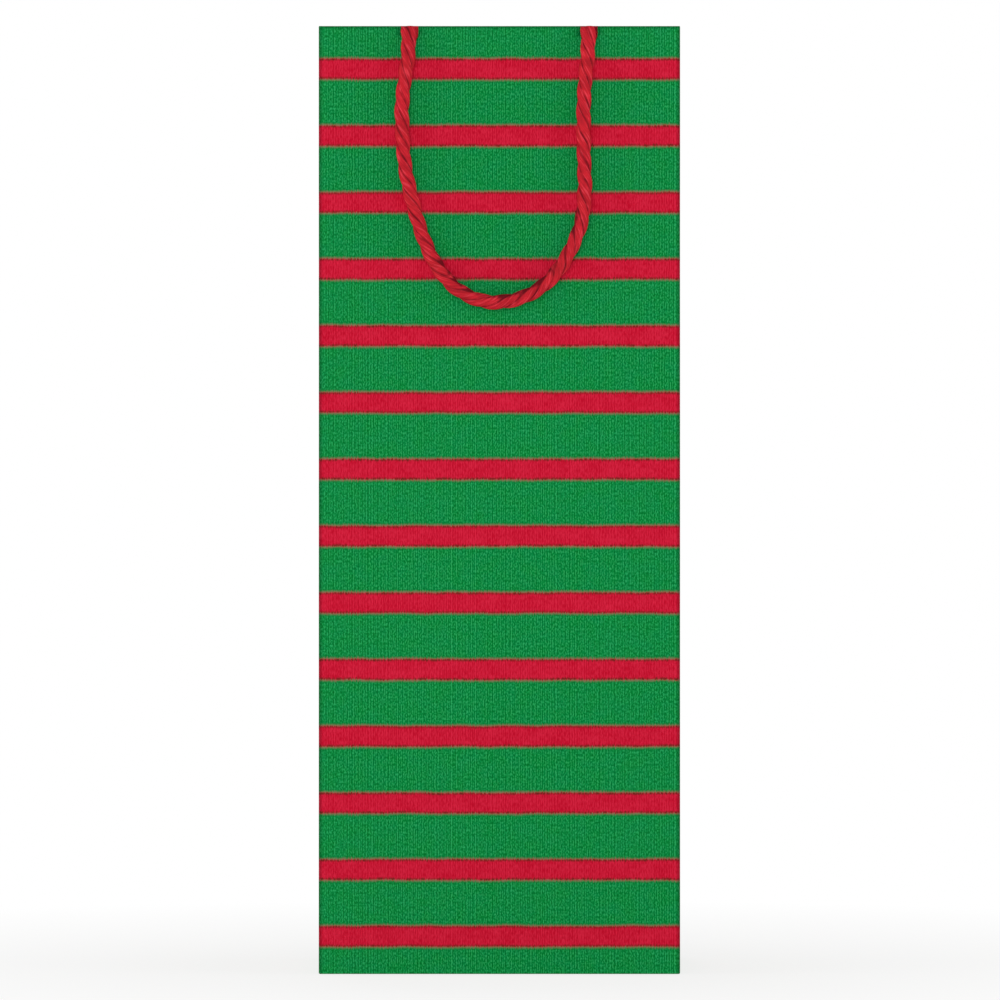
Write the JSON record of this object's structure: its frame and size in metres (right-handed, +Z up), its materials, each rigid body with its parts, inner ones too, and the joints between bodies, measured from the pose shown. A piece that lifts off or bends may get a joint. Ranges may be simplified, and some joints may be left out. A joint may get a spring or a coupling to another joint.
{
  "type": "wine gift bag",
  "caption": "Tall narrow paper gift bag for a wine bottle, with striped printed walls, gusseted sides, a turned top, a loose base card and twisted cord handles that swing.",
  "frame": {"origin": "middle of the base, on the surface that the bag stands on", "axes": "+Z up; the front wall faces -Y; +X is to the right as seen from the front"},
  "size_m": [0.127, 0.1008, 0.333],
  "materials": {
    "printed_paper": "satin",
    "white_paper": "matt",
    "grey_card": "matt",
    "white_card": "matt",
    "red_cord": "matt",
    "barb_steel": "satin"
  },
  "bodies": {
    "bag": {"front_panel": "printed_paper", "back_panel": "printed_paper", "left_gusset": "printed_paper", "right_gusset": "printed_paper", "glue_flap": "white_paper", "front_bottom_flap": "printed_paper", "back_bottom_flap": "printed_paper", "left_bottom_flap": "printed_paper", "right_bottom_flap": "printed_paper", "front_hem": "printed_paper", "back_hem": "printed_paper", "left_hem": "printed_paper", "right_hem": "printed_paper", "front_hem_card": "grey_card", "back_hem_card": "grey_card", "front_left_cord_end": "red_cord", "front_right_cord_end": "red_cord", "back_left_cord_end": "red_cord", "back_right_cord_end": "red_cord", "front_left_barb": "barb_steel", "front_right_barb": "barb_steel", "back_left_barb": "barb_steel", "back_right_barb": "barb_steel"},
    "front_loop": {"front_handle": "red_cord"},
    "back_loop": {"back_handle": "red_cord"},
    "card": {"base_card": "white_card"}
  },
  "joints": [
    {"name": "front_handle_swing", "type": "hinge", "parent": "bag", "child": "front_loop", "pos_m": [0, -0.0479, 0.3302], "axis": [-1, 0, 0], "range_deg": [0, 205]},
    {"name": "back_handle_swing", "type": "hinge", "parent": "bag", "child": "back_loop", "pos_m": [0, 0.0479, 0.3302], "axis": [1, 0, 0], "range_deg": [0, 205]},
    {"name": "base_card_lift", "type": "slide", "parent": "bag", "child": "card", "axis": [0, 0, 1], "range_m": [0, 0.333]}
  ]
}
